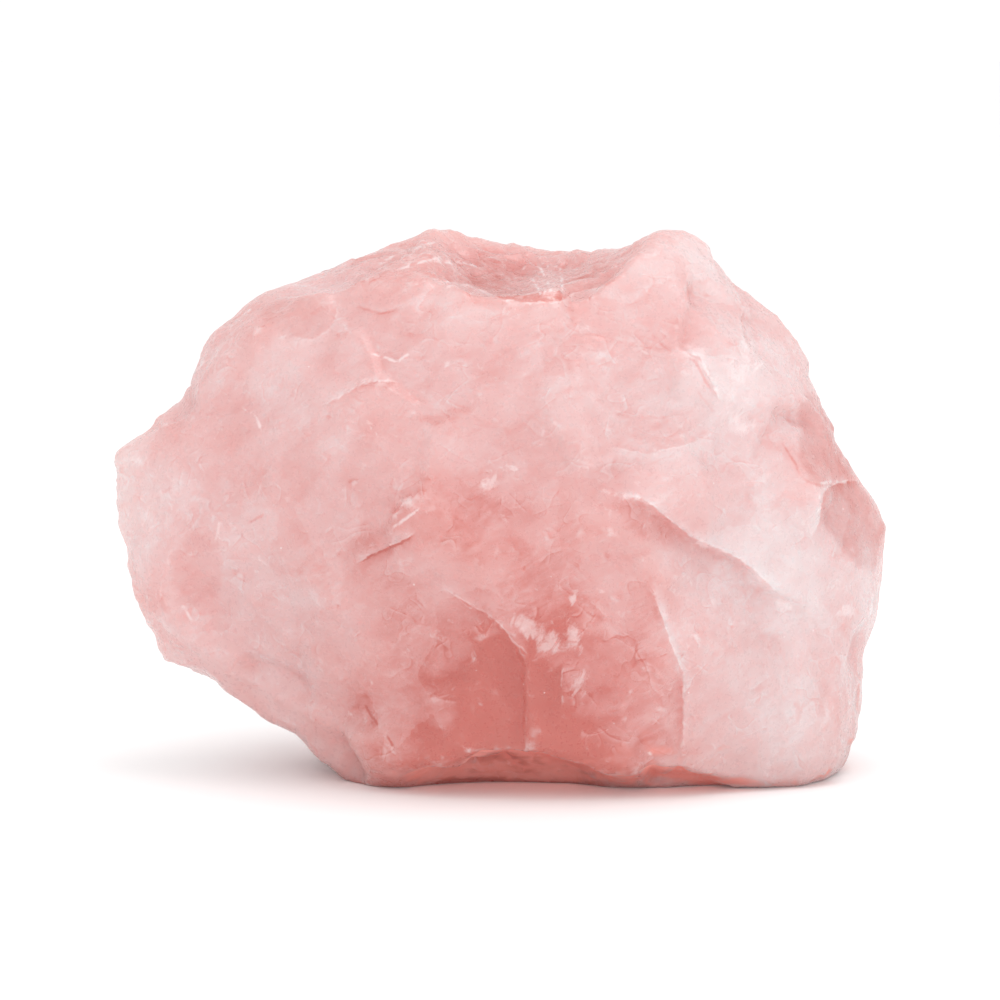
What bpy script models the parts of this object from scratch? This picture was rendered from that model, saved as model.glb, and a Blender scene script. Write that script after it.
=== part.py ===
"""A rough chunk of rose quartz: one solid of broken stone that rests on its own worn facets.

Sizes are in millimetres until the mesh is made, and then in metres. +X is to the right of the chunk's
broad front face, +Y runs from that face into the stone, and +Z is up. The chunk is shaped about the
middle of its outline, and at the end it is moved so that the origin is on the surface that it rests on,
under the middle of its box.
"""

import math

import bmesh
import bpy
import numpy as np
from mathutils import Matrix, Vector, noise
from mathutils.bvhtree import BVHTree

MM = 0.001

# The outline of the front is true for an eye at this point. A place on the front is given as (x, z) where
# the line from the eye through it crosses the middle plane y = 0.
EYE = Vector((0.0, -694.8, 124.1))
MIDDLE_HEIGHT = 37.0

# The outline, clockwise from the left tip, as (x, z, depth): the depth is how far back its crest lies.
LEFT_TIP = [
    (-55.0, 44.5, 1), (-54.5, 45.8, 2), (-51.7, 47.6, 2), (-49.1, 49.2, 3), (-48.7, 50.5, 3),
    (-46.3, 52.0, 4),
]
LEFT_FLAKE = [(-44.6, 53.3, 3), (-44.0, 55.4, 1), (-43.0, 57.9, 1), (-42.3, 58.6, 2)]
LEFT_SHOULDER = [
    (-42.0, 59.8, 3), (-40.7, 62.5, 4), (-39.5, 63.5, 5), (-37.9, 64.4, 5), (-35.4, 67.1, 5),
    (-34.3, 67.8, 5),
]
LEFT_SLOPE = [
    (-30.1, 69.5, 5), (-28.2, 70.0, 6), (-24.0, 71.3, 8), (-19.8, 73.0, 11), (-14.8, 75.1, 14),
    (-11.3, 76.5, 16),
]
LEFT_PEAK = [
    (-9.5, 77.3, 17), (-8.5, 77.3, 17), (-7.4, 77.0, 18), (-5.1, 77.0, 18), (-2.9, 76.2, 19),
    (-0.4, 75.7, 20),
]
SADDLE = [
    (2.7, 75.1, 20), (4.6, 74.4, 20), (7.7, 74.1, 19), (11.2, 74.0, 17), (16.8, 74.5, 12),
    (18.9, 75.2, 7),
]
RIGHT_PEAK = [
    (20.3, 76.2, 3), (22.0, 77.1, 0), (24.5, 77.2, -2), (26.4, 76.8, -2), (28.1, 75.5, -1),
    (30.9, 72.4, 1),
]
RIGHT_SHOULDER = [
    (31.5, 71.3, 1), (34.9, 67.6, 2), (37.3, 66.1, 2), (39.1, 65.1, 3), (42.2, 61.5, 3),
    (43.8, 58.4, 3), (43.4, 56.9, 2),
]
RIGHT_EDGE = [
    (43.6, 55.9, 2), (44.7, 54.2, 1), (47.0, 48.1, 2), (50.6, 42.2, 3), (53.2, 38.4, 4),
    (54.0, 36.7, 4),
]
RIGHT_TIP = [(55.0, 34.9, 4), (54.6, 32.4, 5), (54.5, 28.1, 7), (53.5, 21.6, 6), (52.5, 18.8, 6)]
RIGHT_FLANK = [
    (51.7, 16.6, 5), (51.8, 13.0, 5), (50.9, 6.2, 2), (49.7, 1.9, -1), (48.8, 0.3, -3),
    (46.3, -1.5, -7),
]
FOOT = [(42.7, -3.0, -9), (12.0, -3.0, -9), (-18.6, -3.0, -9)]
OVERHANG = [
    (-22.0, -1.6, -8), (-23.2, -0.6, -8), (-25.0, 1.2, -8), (-26.9, 2.3, -7), (-28.8, 4.9, -6),
    (-30.0, 5.5, -6), (-33.5, 7.2, -5),
]
LEFT_UNDER = [
    (-37.5, 10.1, -4), (-40.0, 12.0, -2), (-40.2, 12.7, -1), (-42.7, 14.2, 0), (-45.6, 15.3, 2),
    (-48.0, 16.0, 3),
]
LEFT_FLANK = [
    (-49.0, 18.0, 3), (-48.8, 19.3, 2), (-51.3, 23.4, 1), (-52.6, 27.0, 0), (-52.8, 31.4, 0),
    (-54.0, 35.9, 0), (-54.6, 41.7, 1),
]
OUTLINE = (
    LEFT_TIP + LEFT_FLAKE + LEFT_SHOULDER + LEFT_SLOPE + LEFT_PEAK + SADDLE + RIGHT_PEAK
    + RIGHT_SHOULDER + RIGHT_EDGE + RIGHT_TIP + RIGHT_FLANK + FOOT + OVERHANG + LEFT_UNDER + LEFT_FLANK
)
RIM_PUSH = 1.015  # the block stands proud of the outline by this much before it is trimmed

# In front of its crest and behind it the outline grows smaller and smoother.
FRONT_REACH, FRONT_TAPER = -60.0, 0.74
BACK_REACH, BACK_TAPER = 60.0, 0.66
RING_SMOOTHING = 4

# Corners of the front of the unworn block, as (x, z, depth).
FRONT_CORNERS = [
    (-47.5, 43.1, -8), (-46.8, 24.5, -9), (-39.7, 18.8, -10), (-34.1, 63.1, -9), (-21.3, 70.9, -8),
    (-4.3, 69.1, -15), (4.2, 67.1, -16), (14.1, 69.5, -15), (21.2, 73.5, -11), (31.1, 63.1, -14),
    (41.0, 53.1, -9), (45.2, 38.8, -11), (49.5, 24.5, -8), (-28.4, 10.3, -15),
    (-2.9, 30.2, -28), (19.8, 35.9, -27), (25.4, 10.3, -25), (-20.0, 50.0, -21), (12.0, 56.0, -22),
    (47.0, 1.2, -12), (42.4, 0.0, -17), (33.9, -0.3, -21), (19.8, 0.5, -23), (8.4, 1.0, -24),
    (-4.0, 1.0, -24), (-13.5, 0.6, -20), (-18.0, -0.8, -14), (-21.3, -1.4, -8),
]
# Corners behind the rim and under the chunk, as (x, y, z).
BACK_CORNERS = [
    (-38, 19, 40), (-30, 22, 60), (-22, 29, 52), (-6, 25, 70), (8, 32, 60), (22, 24, 67), (32, 27, 50),
    (45, 17, 42), (47, 19, 22), (36, 28, 18), (6, 35, 22), (-24, 29, 22), (-36, 17, 18), (40, 20, 5),
]
BASE_CORNERS = [
    (-22, -9, -0.9), (-18, -12, -0.8), (-15, 19, -0.3), (6, 24, -0.8), (28, 20, -0.7), (46, 7, -2.4),
    (47.5, -8, -3.2), (13, -3, -0.4), (35, -11, -1.4),
]

# Bowls cut from the block, as (name, centre, radii, tilt about x in degrees).
BOWLS = [
    ("top hollow", (3.5, -2.7, 98.4), (25.7, 46.8, 30.0), 9.0),
    ("foot arch", (1.0, -27.0, -6.0), (24.0, 19.6, 13.3), 0.0),
]

# Broad shallow scars of flakes, as (name, place on the surface, outward direction, width, depth).
SCARS = [
    ("back upper left", (-26, 27, 57), (-0.45, 0.75, 0.45), 44, 2.6),
    ("back upper right", (20, 27, 60), (0.30, 0.80, 0.50), 42, 2.4),
    ("back middle", (8, 34, 38), (0.10, 0.98, -0.05), 50, 2.4),
    ("back low left", (-28, 24, 20), (-0.50, 0.75, -0.40), 38, 3.0),
    ("back low right", (32, 26, 16), (0.45, 0.80, -0.40), 36, 3.0),
    ("right flank", (46, 14, 30), (0.70, 0.70, 0.10), 26, 1.4),
    ("left flank", (-40, 16, 30), (-0.60, 0.78, -0.10), 34, 1.6),
    ("front fan", (18, -19, 52), (0.20, -0.92, 0.30), 25, 1.2),
    ("front low left", (-31, -15, 26), (-0.45, -0.85, -0.25), 34, 1.4),
    ("front low right", (38, -20, 12), (0.35, -0.93, -0.10), 28, 1.0),
    ("underside", (9, 13, 0), (-0.02, -0.03, -1.00), 33, 1.9),
    ("underside right", (33, 4, 0), (0.04, 0.02, -1.00), 26, 1.5),
]

# Steps in the front face, as (name, line of places (x, z), drop, width of the step, fade to either side).
# The stone on the left of the line, for someone who walks along it, is the prouder layer.
LEDGES = [
    (
        "upper right layer",
        [(46.8, 21.6), (42.5, 23.8), (37.5, 26.2), (34.0, 30.2), (28.3, 32.6), (23.3, 36.6), (19.8, 38.4),
         (15.5, 39.2)],
        -1.7, 0.35, 16.0,
    ),
    (
        "lower right layer",
        [(26.0, 0.0), (25.6, 4.3), (26.3, 10.1), (26.2, 16.6), (24.4, 19.5), (22.6, 22.8), (19.8, 28.1)],
        -1.0, 0.35, 12.0,
    ),
    ("middle valley", [(3.8, 1.0), (3.6, 10.1), (3.1, 15.9), (-0.1, 20.9)], -1.3, 0.6, 12.0),
    ("left crease", [(-20.3, 30.5), (-17.1, 32.4), (-14.2, 34.1), (-12.0, 34.4)], 0.9, 0.5, 8.0),
    (
        "right corner facet",
        [(45.8, 35.6), (45.5, 38.8), (45.9, 40.6), (48.1, 41.5), (50.9, 41.6)],
        1.2, 0.5, 9.0,
    ),
]
LEDGE_END = 0.12  # the share of a ledge's length in which it rises from nothing at either end

# The relief of the broken surface: waves as (height, length, seed), and facets as (spacing, tilt, hollow
# radius, seed, share that the front lacks).
WAVES = [(1.0, 26.0, 1), (0.3, 9.0, 2)]
FACETS = [(13.0, 0.115, 170.0, 5, 0.50), (6.5, 0.085, 150.0, 8, 0.35)]
ARRIS_WIDTH = 0.5
CREST_RELIEF = 0.1  # the share of the relief left on the outline's crest
CREST_NEAR, CREST_FAR = 1.0, 7.0  # distances from the crest between which the relief grows to its whole
OUTLINE_MARGIN = 5.0  # nothing grows past the outline, and within this margin little grows towards it

SKIN_STEP = 0.8  # spacing of the even skin that carries the relief
MOST_TRIANGLES = 9000
SHORTEST_EDGE = 0.02
SLAB = 300.0  # size of the block that cuts the resting surface
BATCH = 4000  # points worked on at one time
QUARTZ_PINK = (0.83, 0.49, 0.48, 1.0)
QUARTZ_ROUGHNESS = 0.34
QUARTZ_IOR = 1.544
SHARP_ARRIS = math.radians(38)


def on_sight_line(x, z, depth):
    """The point at this depth that the eye sees over (x, z) of the middle plane."""
    share = (depth - EYE.y) / -EYE.y
    return EYE + (Vector((x, 0.0, z)) - EYE) * share


def mesh_object(name, bm):
    """A new object with this bmesh, its faces pointing out."""
    bmesh.ops.recalc_face_normals(bm, faces=bm.faces)
    mesh = bpy.data.meshes.new(name)
    bm.to_mesh(mesh)
    bm.free()
    obj = bpy.data.objects.new(name, mesh)
    bpy.context.scene.collection.objects.link(obj)
    return obj


def block():
    """The convex block between all the corners."""
    bm = bmesh.new()
    for x, z, depth in OUTLINE:
        bm.verts.new(on_sight_line(x * RIM_PUSH, MIDDLE_HEIGHT + (z - MIDDLE_HEIGHT) * RIM_PUSH, depth))
    for x, z, depth in FRONT_CORNERS:
        bm.verts.new(on_sight_line(x, z, depth))
    for corner in BACK_CORNERS + BASE_CORNERS:
        bm.verts.new(corner)
    hull = bmesh.ops.convex_hull(bm, input=bm.verts)
    unused = [v for v in hull["geom_interior"] if isinstance(v, bmesh.types.BMVert)]
    bmesh.ops.delete(bm, geom=unused, context="VERTS")
    return mesh_object("rose_quartz_chunk", bm)


def smaller_ring(taper):
    """The outline smoothed and drawn in towards the middle, but no higher at the foot."""
    ring = np.array([(x, z) for x, z, depth in OUTLINE])
    for _ in range(RING_SMOOTHING):
        ring = (np.roll(ring, 1, axis=0) + 2.0 * ring + np.roll(ring, -1, axis=0)) / 4.0
    ring[:, 0] *= taper
    above = ring[:, 1] > MIDDLE_HEIGHT
    ring[above, 1] = MIDDLE_HEIGHT + (ring[above, 1] - MIDDLE_HEIGHT) * taper
    ring[~above, 1] -= 1.0
    return ring


def outline_solid():
    """A solid whose crest is the outline, and which grows smaller to the front and to the back."""
    bm = bmesh.new()
    rings = [[bm.verts.new(on_sight_line(x, z, FRONT_REACH)) for x, z in smaller_ring(FRONT_TAPER)]]
    rings.append([bm.verts.new(on_sight_line(*point)) for point in OUTLINE])
    rings.append([bm.verts.new(on_sight_line(x, z, BACK_REACH)) for x, z in smaller_ring(BACK_TAPER)])
    bm.faces.new(rings[0])
    bm.faces.new(reversed(rings[2]))
    for near, far in ((rings[0], rings[1]), (rings[1], rings[2])):
        for i in range(len(near)):
            j = (i + 1) % len(near)
            bm.faces.new((near[j], near[i], far[i], far[j]))
    bmesh.ops.triangulate(bm, faces=bm.faces)
    return mesh_object("outline_solid", bm)


def bowl(name, centre, radii, tilt):
    """An ellipsoid that cuts a bowl."""
    bm = bmesh.new()
    turn = Matrix.Rotation(math.radians(tilt), 4, "X")
    shape = Matrix.Translation(centre) @ turn @ Matrix.Diagonal((*radii, 1.0))
    bmesh.ops.create_icosphere(bm, subdivisions=5, radius=1.0, matrix=shape)
    return mesh_object(name, bm)


def scar(obj, name, place, outward, width, depth):
    """A large ball that cuts a scar of this width and depth where the surface lies under the place."""
    outward = Vector(outward).normalized()
    tree = BVHTree.FromObject(obj, bpy.context.evaluated_depsgraph_get())
    surface = tree.ray_cast(Vector(place) + outward * BACK_REACH, -outward)[0]
    radius = (width * width / 4.0 + depth * depth) / (2.0 * depth)
    return bowl(name, surface + outward * (radius - depth), (radius, radius, radius), 0.0)


def apply_modifiers(obj):
    """Gives the object the mesh that its modifiers make, and removes them."""
    graph = bpy.context.evaluated_depsgraph_get()
    mesh = bpy.data.meshes.new_from_object(obj.evaluated_get(graph))
    obj.modifiers.clear()
    obj.data = mesh


def boolean(obj, cutter, operation):
    """Joins the cutter to the object with this operation, and removes the cutter."""
    modifier = obj.modifiers.new(cutter.name, "BOOLEAN")
    modifier.object = cutter
    modifier.operation = operation
    modifier.solver = "EXACT"
    apply_modifiers(obj)
    bpy.data.objects.remove(cutter)


def even_skin(obj):
    """Covers the solid with an even mesh, which also wears its corners."""
    modifier = obj.modifiers.new("even skin", "REMESH")
    modifier.mode = "VOXEL"
    modifier.voxel_size = SKIN_STEP
    modifier.adaptivity = 0.0
    apply_modifiers(obj)


def smooth_step(values, low, high):
    """0 at low and 1 at high, with a smooth change between them."""
    share = np.clip((values - low) / (high - low), 0.0, 1.0)
    return share * share * (3.0 - 2.0 * share)


def waves(points, length, seed):
    """Smooth waves of this length, between about -1 and 1."""
    shift = Vector((seed * 17.3, seed * 5.1, seed * 9.7))
    return np.array([noise.noise(Vector(p) / length + shift) for p in points])


def facets(points, spacing, tilt, radius, seed):
    """Heights of small facets, each with its own slope and a little hollow, that meet in low arrises."""
    rng = np.random.default_rng(seed)
    low, size = points.min(axis=0), np.ptp(points, axis=0)
    count = int(np.prod(size / spacing))
    seeds = low + size * rng.random((count, 3))
    slopes = rng.normal(0.0, tilt, (count, 3))
    heights = np.empty(len(points))
    for start in range(0, len(points), BATCH):
        offset = points[start:start + BATCH, None, :] - seeds[None, :, :]
        square = (offset ** 2).sum(axis=2)
        reach = np.sqrt(square)
        weight = np.exp(-(reach - reach.min(axis=1, keepdims=True)) / ARRIS_WIDTH)
        height = (offset * slopes).sum(axis=2) + square / (2.0 * radius)
        heights[start:start + BATCH] = (weight * height).sum(axis=1) / weight.sum(axis=1)
    return heights - heights.mean()


def ledge(places, line, drop, width, fade):
    """Heights of one step along a line of places, high on the left of the line."""
    line = np.array(line)
    nearest = np.full(len(places), 1e9)
    side = np.zeros(len(places))
    along = np.zeros(len(places))
    lengths = np.linalg.norm(np.diff(line, axis=0), axis=1)
    walked = 0.0
    for a, b, length in zip(line[:-1], line[1:], lengths):
        run = (b - a) / length
        offset = places - a
        share = np.clip(offset @ run, 0.0, length)
        gap = offset - share[:, None] * run
        distance = np.linalg.norm(gap, axis=1)
        closer = distance < nearest
        nearest[closer] = distance[closer]
        side[closer] = np.sign(run[0] * offset[:, 1] - run[1] * offset[:, 0])[closer]
        along[closer] = ((walked + share) / lengths.sum())[closer]
        walked += length
    ends = smooth_step(along, 0.0, LEDGE_END) * smooth_step(along, 1.0, 1.0 - LEDGE_END)
    return 0.5 * drop * side * np.tanh(nearest / width) * np.exp(-nearest / fade) * ends


def distance_to_line(points, line):
    """Distance of each point to a line that runs through these corners and closes."""
    nearest = np.full(len(points), 1e9)
    for a, b in zip(line, np.roll(line, -1, axis=0)):
        run = b - a
        offset = points - a
        share = np.clip(offset @ run / (run @ run), 0.0, 1.0)
        nearest = np.minimum(nearest, np.linalg.norm(offset - share[:, None] * run, axis=1))
    return nearest


def add_relief(obj):
    """Waves, facets and ledges of the broken surface."""
    mesh = obj.data
    points = np.empty(len(mesh.vertices) * 3)
    normals = np.empty(len(mesh.vertices) * 3)
    mesh.vertices.foreach_get("co", points)
    mesh.vertex_normals.foreach_get("vector", normals)
    points = points.reshape(-1, 3)
    normals = normals.reshape(-1, 3)
    sight = np.array(EYE) - points
    sight /= np.linalg.norm(sight, axis=1, keepdims=True)
    front = smooth_step((normals * sight).sum(axis=1), 0.1, 0.7)
    share = -EYE.y / (points[:, 1] - EYE.y)
    places = np.stack((points[:, 0] * share, EYE.z + (points[:, 2] - EYE.z) * share), axis=1)

    height = np.zeros(len(points))
    for rise, length, seed in WAVES:
        height += rise * waves(points, length, seed)
    for spacing, tilt, radius, seed, lack in FACETS:
        height += (1.0 - lack * front) * facets(points, spacing, tilt, radius, seed)
    # The crest of the outline keeps its place, and nothing grows past it.
    crest = np.array([on_sight_line(*point) for point in OUTLINE])
    off_crest = smooth_step(distance_to_line(points, crest), CREST_NEAR, CREST_FAR)
    height *= CREST_RELIEF + (1.0 - CREST_RELIEF) * off_crest
    outline = np.array([(x, z) for x, z, depth in OUTLINE])
    inside = smooth_step(distance_to_line(places, outline), 0.0, OUTLINE_MARGIN)
    height = np.minimum(height, 0.0) + np.maximum(height, 0.0) * inside
    moved = points + normals * height[:, None]

    layers = np.zeros(len(points))
    for name, line, drop, width, fade in LEDGES:
        layers += ledge(places, line, drop, width, fade)
    moved += sight * (layers * front)[:, None]
    mesh.vertices.foreach_set("co", moved.ravel())
    mesh.update()


def fewer_triangles(obj):
    """Leaves about the number of triangles that the solid may have, more of them where it bends."""
    obj.data.calc_loop_triangles()
    modifier = obj.modifiers.new("fewer triangles", "DECIMATE")
    modifier.ratio = MOST_TRIANGLES / len(obj.data.loop_triangles)
    modifier.use_collapse_triangulate = True
    apply_modifiers(obj)


def rest_facets(obj):
    """Cuts away what lies under the resting surface, which leaves flat facets on it."""
    bm = bmesh.new()
    bmesh.ops.create_cube(bm, size=SLAB, matrix=Matrix.Translation((0, 0, -SLAB / 2.0)))
    boolean(obj, mesh_object("resting surface", bm), "DIFFERENCE")
    bm = bmesh.new()
    bm.from_mesh(obj.data)
    bmesh.ops.remove_doubles(bm, verts=bm.verts, dist=SHORTEST_EDGE)
    bmesh.ops.triangulate(bm, faces=bm.faces)
    bm.to_mesh(obj.data)
    bm.free()


def finish(obj):
    """The origin under the middle, metres, smooth shading with sharp arrises, and the stone's material."""
    corners = np.array([v.co for v in obj.data.vertices])
    middle = (corners.min(axis=0) + corners.max(axis=0)) / 2.0
    obj.data.transform(Matrix.Scale(MM, 4) @ Matrix.Translation((-middle[0], -middle[1], 0.0)))
    obj.data.polygons.foreach_set("use_smooth", [True] * len(obj.data.polygons))
    obj.data.set_sharp_from_angle(angle=SHARP_ARRIS)
    obj.data.materials.clear()
    obj.data.materials.append(rose_quartz())


def rose_quartz():
    """The stone's plain material."""
    material = bpy.data.materials.new("rose_quartz")
    material.use_nodes = True
    shader = material.node_tree.nodes["Principled BSDF"]
    shader.inputs["Base Color"].default_value = QUARTZ_PINK
    shader.inputs["Roughness"].default_value = QUARTZ_ROUGHNESS
    shader.inputs["IOR"].default_value = QUARTZ_IOR
    return material


def main():
    for obj in list(bpy.data.objects):
        bpy.data.objects.remove(obj)
    chunk = block()
    boolean(chunk, outline_solid(), "INTERSECT")
    for form in BOWLS:
        boolean(chunk, bowl(*form), "DIFFERENCE")
    for form in SCARS:
        boolean(chunk, scar(chunk, *form), "DIFFERENCE")
    even_skin(chunk)
    add_relief(chunk)
    fewer_triangles(chunk)
    rest_facets(chunk)
    finish(chunk)


main()
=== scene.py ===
"""The looks of the rose quartz chunk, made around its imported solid.

The stone's skin is remeshed fine from the solid, broken up by steps, small facets and ripples, and given a
cloudy, light-scattering material. Lengths in the shaping functions are in millimetres.
"""

import math

import bpy
import numpy as np
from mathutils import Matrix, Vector


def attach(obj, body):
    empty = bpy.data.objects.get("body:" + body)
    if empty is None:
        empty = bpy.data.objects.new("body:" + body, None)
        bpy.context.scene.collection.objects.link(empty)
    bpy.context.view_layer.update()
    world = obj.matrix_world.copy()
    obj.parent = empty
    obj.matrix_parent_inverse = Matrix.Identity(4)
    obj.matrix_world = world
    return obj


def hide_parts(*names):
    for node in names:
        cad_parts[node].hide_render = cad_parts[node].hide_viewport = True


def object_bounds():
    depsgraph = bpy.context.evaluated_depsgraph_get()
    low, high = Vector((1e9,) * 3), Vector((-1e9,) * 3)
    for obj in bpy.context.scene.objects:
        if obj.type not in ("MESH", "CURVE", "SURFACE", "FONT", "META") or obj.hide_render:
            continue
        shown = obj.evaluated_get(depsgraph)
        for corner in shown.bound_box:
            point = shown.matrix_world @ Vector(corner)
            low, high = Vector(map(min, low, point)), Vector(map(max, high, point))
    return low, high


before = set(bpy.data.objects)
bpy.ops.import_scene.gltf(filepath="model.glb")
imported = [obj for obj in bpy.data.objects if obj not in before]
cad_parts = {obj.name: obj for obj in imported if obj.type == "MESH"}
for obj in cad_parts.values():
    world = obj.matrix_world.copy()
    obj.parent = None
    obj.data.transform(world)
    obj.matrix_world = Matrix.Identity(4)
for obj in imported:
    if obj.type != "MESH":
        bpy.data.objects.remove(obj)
cad_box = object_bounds()

MM = 0.001

# The solid was shaped about a middle that is not the origin: this is where the origin lies in that frame.
ORIGIN = np.array([0.191, 4.439, 0.0])
# The photograph's eye in the shaping frame. A place on the front is (x, z) where the line from the eye
# through it crosses the plane y = 0 of that frame.
EYE = np.array([0.0, -694.8, 124.1])
EYE_TILT = math.radians(7.0)
LENS, SENSOR = 178.0, 36.0

SKIN_STEP = 0.34
SKIN_SMOOTHING = 5
MOST_TRIANGLES = 196000

# The broken surface's layers of relief. Each has its own seed.
WIDE_FACETS = {"spacing": 5.0, "tilt": 0.09, "arris": 0.22, "seed": 1}
SMALL_FACETS = {"spacing": 2.1, "tilt": 0.10, "arris": 0.10, "seed": 2}
HOLLOW_FACETS = {"spacing": 3.0, "tilt": 0.26, "arris": 0.16, "seed": 3}
FRONT_FLAKES = {"length": 9.0, "height": 0.11, "edge": 0.10, "seed": 9}
AWAY_FLAKES = {"length": 14.0, "height": 0.20, "edge": 0.08, "seed": 12}
HOLLOW_PLACE, HOLLOW_RADII = (2.0, 72.0), (22.0, 6.0)
# Across the front the grain lies flat and falls a little to the left.
GRAIN_TURN, GRAIN_HEIGHT = -12.0, 0.035
GRAIN_STRETCH = np.array([0.40, 1.0, 1.0])
WARP = 1.4
# What brings the gradient noise to about -1 to 1
WAVE_GAIN = 1.6
# How many layers a flake's noise holds, and how much of their slope is taken out again
FLAKE_LAYERS, FLAKE_LEAN = 4.0, 0.85
# How the drawn borders are made wavy: (wave length, seed, amount)
STEP_SHAKE = (1.6, 21, 0.30)
PATCH_SHAKE = (3.0, 63, 0.7)
AREA_SHAKE = (2.4, 67, 0.6)
DEPTH_SHAKE = (9.0, 61, 2.0)
# How far to each side a drawn line is marked
EDGE_REACH, THIN_REACH = 2.2, 1.3
# Points lower than this rest on the floor and keep their height.
RESTING_HEIGHT = 0.35
RIM_SMOOTHING, ARRIS_SMOOTHING = 60, 6


# Seeded noise and small facets

def scramble(cells, seed):
    """An even random number from 0 to 1 for each whole-number cell."""
    h = cells[..., 0].astype(np.int64) * 73856093
    h = h ^ (cells[..., 1].astype(np.int64) * 19349663)
    h = h ^ (cells[..., 2].astype(np.int64) * 83492791)
    h = ((h + seed * 97531) & 0xFFFFFFFF).astype(np.uint64)
    for shift, factor in ((16, 0x7FEB352D), (15, 0x846CA68B)):
        h = ((h ^ (h >> np.uint64(shift))) * np.uint64(factor)) & np.uint64(0xFFFFFFFF)
    h = h ^ (h >> np.uint64(16))
    return h.astype(np.float64) / 4294967296.0


def waves(points, length, seed):
    """Smooth gradient noise of this wave length, between about -1 and 1."""
    p = points / length
    base = np.floor(p)
    part = p - base
    fade = part * part * part * (part * (part * 6.0 - 15.0) + 10.0)
    total = np.zeros(len(points))
    for corner in np.ndindex(2, 2, 2):
        cell = base + corner
        slope = np.stack([scramble(cell, seed * 3 + k) * 2.0 - 1.0 for k in range(3)], axis=1)
        value = (slope * (part - corner)).sum(axis=1)
        weight = np.prod(np.where(corner, fade, 1.0 - fade), axis=1)
        total += value * weight
    return total * WAVE_GAIN


def rough_waves(points, length, octaves, seed):
    """Noise with finer and weaker noise on it."""
    total = np.zeros(len(points))
    for k in range(octaves):
        total += waves(points, length / 2.03 ** k, seed + 11 * k) * 0.5 ** k
    return total


def facets(points, spacing, tilt, arris, seed):
    """Heights of small facets, each with its own slope, that meet in steps and low arrises."""
    p = points / spacing
    base = np.floor(p)
    nearest = np.full(len(points), 1e9)
    found = []
    for corner in np.ndindex(3, 3, 3):
        cell = base + corner - 1.0
        jitter = np.stack([scramble(cell, seed * 7 + k) for k in range(3)], axis=1)
        slope = np.stack([scramble(cell, seed * 7 + 3 + k) - 0.5 for k in range(3)], axis=1)
        offset = (p - cell - jitter) * spacing
        reach = np.linalg.norm(offset, axis=1)
        nearest = np.minimum(nearest, reach)
        found.append((reach, (offset * slope).sum(axis=1)))
    total = np.zeros(len(points))
    share = np.zeros(len(points))
    for reach, height in found:
        weight = np.exp(-(reach - nearest) / arris)
        total += weight * height
        share += weight
    return total / share * tilt * 2.0


def smooth_step(values, low, high):
    """0 at low and 1 at high, with a smooth change between them."""
    share = np.clip((values - low) / (high - low), 0.0, 1.0)
    return share * share * (3.0 - 2.0 * share)


# Measures along a line on the front

def along_line(places, line):
    """Distance from the line, side of it (1 on its left) and share of its length, for each place."""
    line = np.array(line, float)
    lengths = np.linalg.norm(np.diff(line, axis=0), axis=1)
    nearest = np.full(len(places), 1e9)
    side = np.zeros(len(places))
    share = np.zeros(len(places))
    walked = 0.0
    for a, b, length in zip(line[:-1], line[1:], lengths):
        run = (b - a) / length
        offset = places - a
        reach = np.clip(offset @ run, 0.0, length)
        distance = np.linalg.norm(offset - reach[:, None] * run, axis=1)
        closer = distance < nearest
        nearest[closer] = distance[closer]
        side[closer] = np.sign(run[0] * offset[:, 1] - run[1] * offset[:, 0])[closer]
        share[closer] = ((walked + reach) / lengths.sum())[closer]
        walked += length
    return nearest, side, share


def ends_taper(share, reach=0.15):
    return smooth_step(share, 0.0, reach) * smooth_step(share, 1.0, 1.0 - reach)


def step(places, line, drop, width, fade):
    """A step along the line, which drops from its left to its right."""
    distance, side, share = along_line(places, line)
    rise = np.tanh(distance / width) * np.exp(-distance / fade)
    return 0.5 * drop * side * rise * ends_taper(share)


def groove(places, line, depth, width):
    """A narrow groove along the line."""
    distance, side, share = along_line(places, line)
    return -depth * np.exp(-(distance / width) ** 2) * ends_taper(share)


# The front's marks. Each place is (x, z) in millimetres as the eye sees it on the middle plane.

# Steps: (name, line, drop from its left to its right, width, how far it fades). A negative drop is a rise.
STEPS = [
    ("upper right layer", [(46.8, 21.6), (42.5, 23.8), (37.5, 26.2), (34.0, 30.2), (28.3, 32.6),
                           (23.3, 36.6), (19.8, 38.4), (15.5, 39.2)], -0.20, 0.12, 2.5),
    ("lower right layer", [(26.0, 0.0), (25.6, 4.3), (26.3, 10.1), (26.2, 16.6), (24.4, 19.5), (22.6, 22.8),
                           (19.8, 28.1)], -0.25, 0.12, 1.6),
    ("middle valley", [(3.6, 1.0), (3.6, 10.1), (3.4, 15.9), (0.6, 20.9)], -0.35, 0.15, 2.5),
    ("left crease", [(-20.6, 29.7), (-17.1, 31.6), (-14.2, 33.3), (-11.7, 34.4)], 0.45, 0.12, 2.0),
    ("right corner facet", [(45.0, 34.6), (45.5, 38.8), (45.9, 40.6), (48.1, 41.5), (50.9, 41.6)],
     0.45, 0.12, 2.5),
    ("wing", [(-9.3, 27.1), (-4.3, 23.8), (0.3, 21.4), (1.3, 19.0), (5.0, 15.3)], -0.40, 0.12, 2.5),
    ("square", [(8.7, 15.4), (8.5, 9.4)], 0.25, 0.12, 1.5),
    ("left streak", [(-25.8, 52.0), (-20.5, 54.7), (-18.1, 55.7), (-13.5, 55.4)], -0.22, 0.12, 2.0),
    ("crest", [(24.5, 61.0), (27.6, 59.3), (29.2, 56.6), (31.2, 52.6)], -0.45, 0.14, 2.0),
    ("left hollow facet", [(-31.0, 62.5), (-29.6, 64.0), (-24.0, 63.0), (-21.5, 66.0)], -0.25, 0.14, 2.5),
]
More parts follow.
